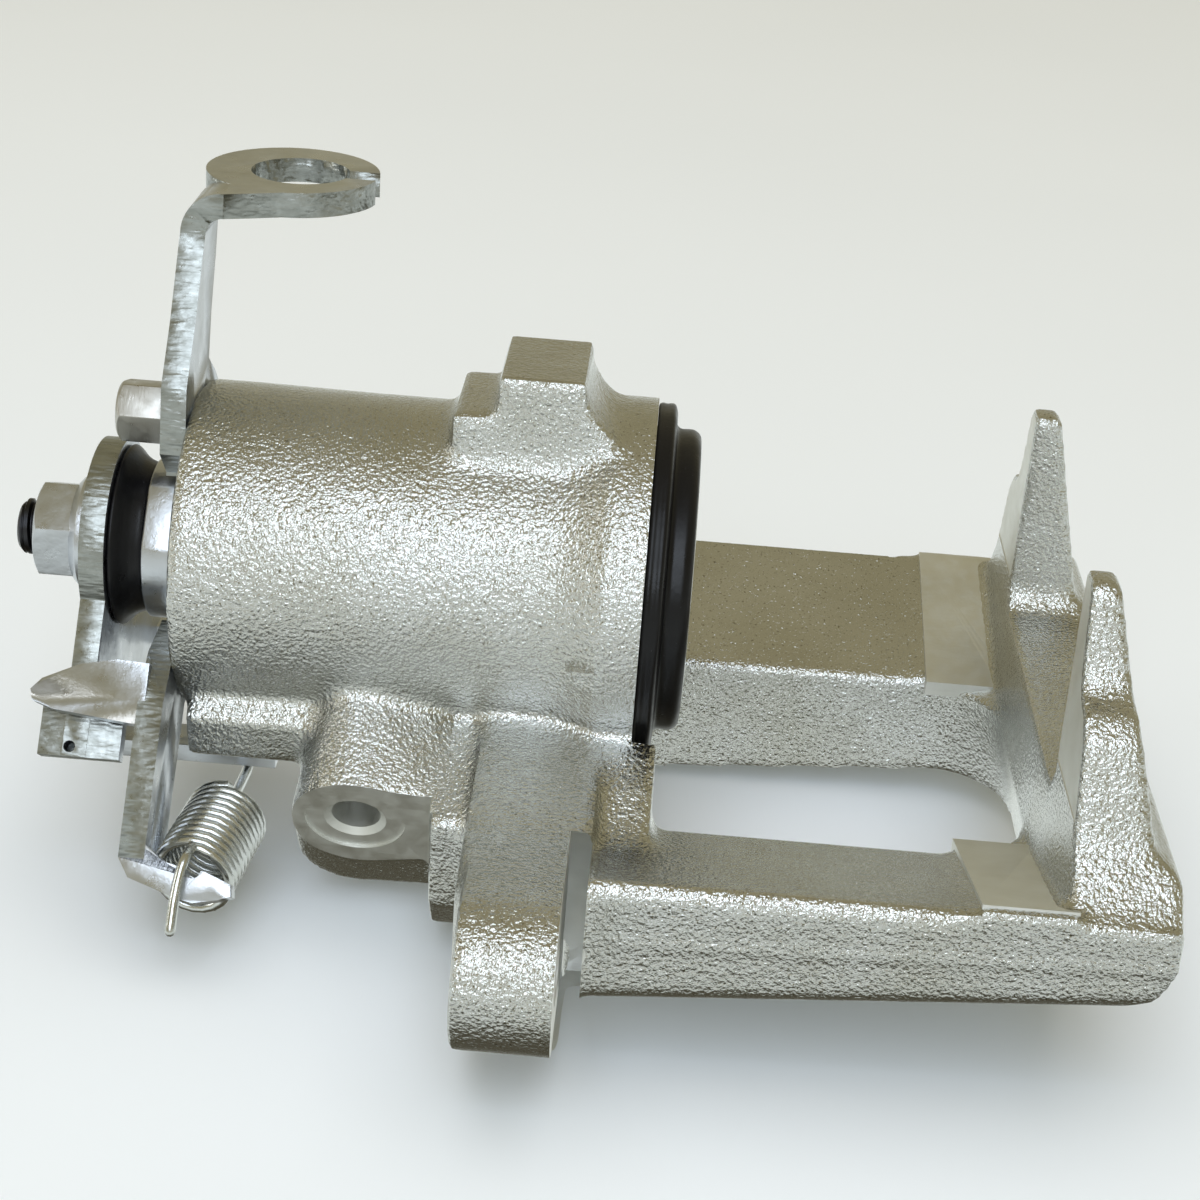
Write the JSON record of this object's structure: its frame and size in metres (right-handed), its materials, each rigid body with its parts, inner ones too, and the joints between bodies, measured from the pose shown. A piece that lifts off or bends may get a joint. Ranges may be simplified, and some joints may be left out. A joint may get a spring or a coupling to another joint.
{
  "type": "brake caliper",
  "caption": "Rear floating brake caliper with a single piston, two-finger bridge, guide pin ears and a built-in parking brake lever, cable bracket and return spring.",
  "frame": {"origin": "middle of the piston's pad face, with the piston fully back", "axes": "+X along the cylinder towards the fingers, +Z radially towards the disc's centre, +Y to the bleed screw's side"},
  "size_m": [0.1602, 0.142, 0.0956],
  "materials": {
    "cast_zinc": "zinc plated casting, fine pebbled",
    "piston_chrome": "ground and plated",
    "rubber": "satin black",
    "bright_steel": "bright ground",
    "plain_steel": "oiled, machined",
    "dark_steel": "oil blackened",
    "black_steel": "black phosphate",
    "spring_wire": "drawn, zinc plated",
    "bush_bronze": "sintered bronze",
    "zinc_plate": "pressed plate, zinc plated",
    "bleed_brass": "yellow passivated"
  },
  "bodies": {
    "housing": {"caliper_housing": "cast_zinc", "piston_seal": "rubber", "dust_boot": "rubber", "boot_retaining_ring": "bright_steel", "spring_cage": "plain_steel", "cage_circlip": "dark_steel", "cage_spring": "spring_wire", "anti_rotation_pins": "bright_steel", "thrust_bearing": "bright_steel", "shaft_bush": "bush_bronze", "shaft_seal": "rubber", "gland_collar": "zinc_plate", "shaft_boot": "rubber", "cable_bracket": "zinc_plate", "bracket_bolts": "zinc_plate", "return_spring": "spring_wire"},
    "piston_group": {"piston": "piston_chrome", "adjuster_bearing": "bright_steel", "clutch_spring": "spring_wire", "adjuster_retaining_ring": "dark_steel"},
    "adjuster": {"adjuster_nut": "plain_steel"},
    "spindle": {"push_spindle": "plain_steel"},
    "lever_group": {"park_lever": "zinc_plate", "lever_shaft": "black_steel", "lever_nut": "zinc_plate", "ramp_balls": "bright_steel"},
    "bleeder": {"bleed_screw": "bleed_brass"},
    "bleeder_cap": {"bleed_cap": "rubber"}
  },
  "joints": [
    {"name": "lever_turn", "type": "hinge", "parent": "housing", "child": "lever_group", "pos_m": [-0.0826, 0, 0], "axis": [1, 0, 0], "range_deg": [0, 28], "stiffness_Nm_per_rad": 2.9, "springref_deg": -17.19, "deforming": ["return_spring"]},
    {"name": "spindle_slide", "type": "slide", "parent": "housing", "child": "spindle", "axis": [1, 0, 0], "range_m": [0, 0.002], "deforming": ["cage_spring"]},
    {"name": "piston_slide", "type": "slide", "parent": "housing", "child": "piston_group", "axis": [1, 0, 0], "range_m": [0, 0.01], "deforming": ["dust_boot"]},
    {"name": "adjuster_turn", "type": "hinge", "parent": "piston_group", "child": "adjuster", "pos_m": [-0.02, 0, 0], "axis": [1, 0, 0], "range_deg": [0, 300]},
    {"name": "bleed_screw_turn", "type": "hinge", "parent": "housing", "child": "bleeder", "pos_m": [-0.0225, 0.03, 0.012], "axis": [0, 1, 0], "range_deg": [0, 270]},
    {"name": "bleed_cap_pull", "type": "slide", "parent": "bleeder", "child": "bleeder_cap", "axis": [0, 1, 0], "range_m": [0, 0.012]}
  ],
  "couplings": [
    {"joint": "spindle_slide", "follows": "lever_turn", "m_per_rad": 0.004088},
    {"joint": "adjuster_turn", "follows": "piston_slide", "rad_per_m": 523.08}
  ]
}
